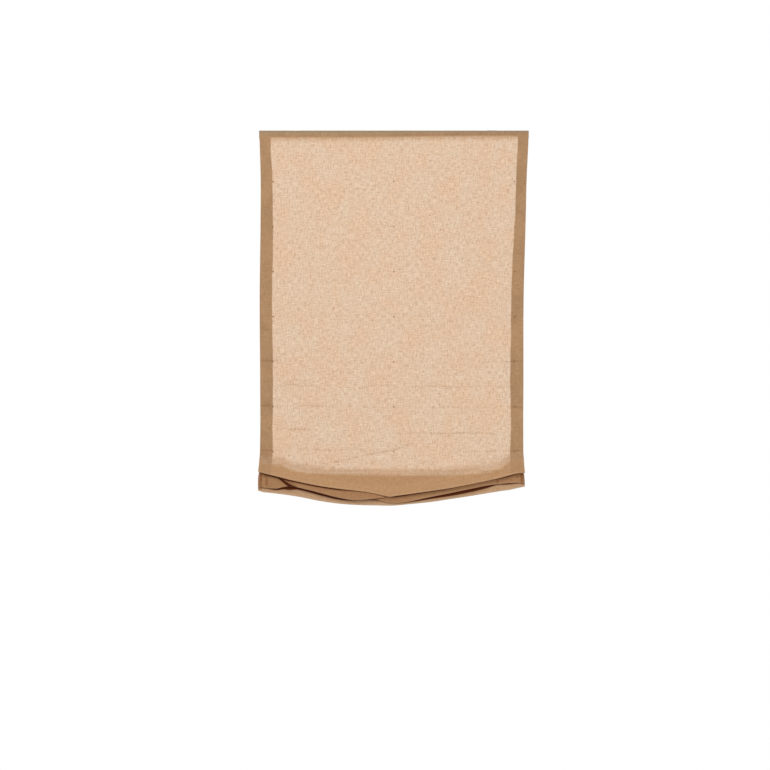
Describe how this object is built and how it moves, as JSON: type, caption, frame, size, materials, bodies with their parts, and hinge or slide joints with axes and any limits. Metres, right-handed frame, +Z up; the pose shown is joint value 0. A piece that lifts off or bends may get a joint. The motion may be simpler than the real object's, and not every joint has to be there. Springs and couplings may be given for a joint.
{
  "type": "relaxed roman shade",
  "caption": "Relaxed Roman shade of plain woven cloth, partly raised, with gathered folds and a sagging hem, hung from a slim headrail with a spring-balanced lift.",
  "frame": {"origin": "middle of the flat top of the headrail's front lip", "axes": "+Z up, the front of the cloth faces -Y, +X to the right as seen from the front"},
  "size_m": [0.9208, 0.0758, 1.273],
  "materials": {
    "cloth": "tan linen weave, matte",
    "rail_enamel": "white satin enamel",
    "steel": "zinc-plated",
    "cord": "braided, matte",
    "tape": "hook-and-loop tape",
    "ring_plastic": "clear, glossy",
    "weight": "sheathed, matte",
    "white_plastic": "moulded, satin"
  },
  "bodies": {
    "shade": {"bracket_left": "steel", "bracket_right": "steel", "cord_adjuster_centre": "white_plastic", "cord_adjuster_left": "white_plastic", "cord_adjuster_right": "white_plastic", "end_cap_left": "white_plastic", "end_cap_right": "white_plastic", "fabric_panel": "cloth", "headrail": "rail_enamel", "hem_weight": "weight", "hook_tape": "tape", "lift_cord_centre": "cord", "lift_cord_left": "cord", "lift_cord_right": "cord", "loop_tape": "tape", "motor_housing": "white_plastic", "power_spring": "steel", "ring_centre_01": "ring_plastic", "ring_centre_02": "ring_plastic", "ring_centre_03": "ring_plastic", "ring_centre_04": "ring_plastic", "ring_centre_05": "ring_plastic", "ring_centre_06": "ring_plastic", "ring_centre_07": "ring_plastic", "ring_centre_08": "ring_plastic", "ring_centre_09": "ring_plastic", "ring_centre_10": "ring_plastic", "ring_left_01": "ring_plastic", "ring_left_02": "ring_plastic", "ring_left_03": "ring_plastic", "ring_left_04": "ring_plastic", "ring_left_05": "ring_plastic", "ring_left_06": "ring_plastic", "ring_left_07": "ring_plastic", "ring_left_08": "ring_plastic", "ring_left_09": "ring_plastic", "ring_left_10": "ring_plastic", "ring_right_01": "ring_plastic", "ring_right_02": "ring_plastic", "ring_right_03": "ring_plastic", "ring_right_04": "ring_plastic", "ring_right_05": "ring_plastic", "ring_right_06": "ring_plastic", "ring_right_07": "ring_plastic", "ring_right_08": "ring_plastic", "ring_right_09": "ring_plastic", "ring_right_10": "ring_plastic", "spool_cradle_centre": "white_plastic", "spool_cradle_left": "white_plastic", "spool_cradle_right": "white_plastic"},
    "lift_shaft_group": {"lift_shaft": "steel", "output_drum": "white_plastic", "shaft_collar_left": "white_plastic", "shaft_collar_right": "white_plastic", "cord_spool_left": "white_plastic", "cord_spool_centre": "white_plastic", "cord_spool_right": "white_plastic"},
    "storage_drum_group": {"storage_drum": "white_plastic"}
  },
  "joints": [
    {"name": "shaft_turn", "type": "hinge", "parent": "shade", "child": "lift_shaft_group", "pos_m": [0, 0.00953, -0.0125], "axis": [1, 0, 0], "range_deg": [-6840, 2950]},
    {"name": "storage_turn", "type": "hinge", "parent": "shade", "child": "storage_drum_group", "pos_m": [0, 0.02403, -0.0125], "axis": [1, 0, 0], "range_deg": [-2950, 6840]}
  ],
  "couplings": [
    {"joint": "storage_turn", "follows": "shaft_turn", "ratio": -1}
  ]
}
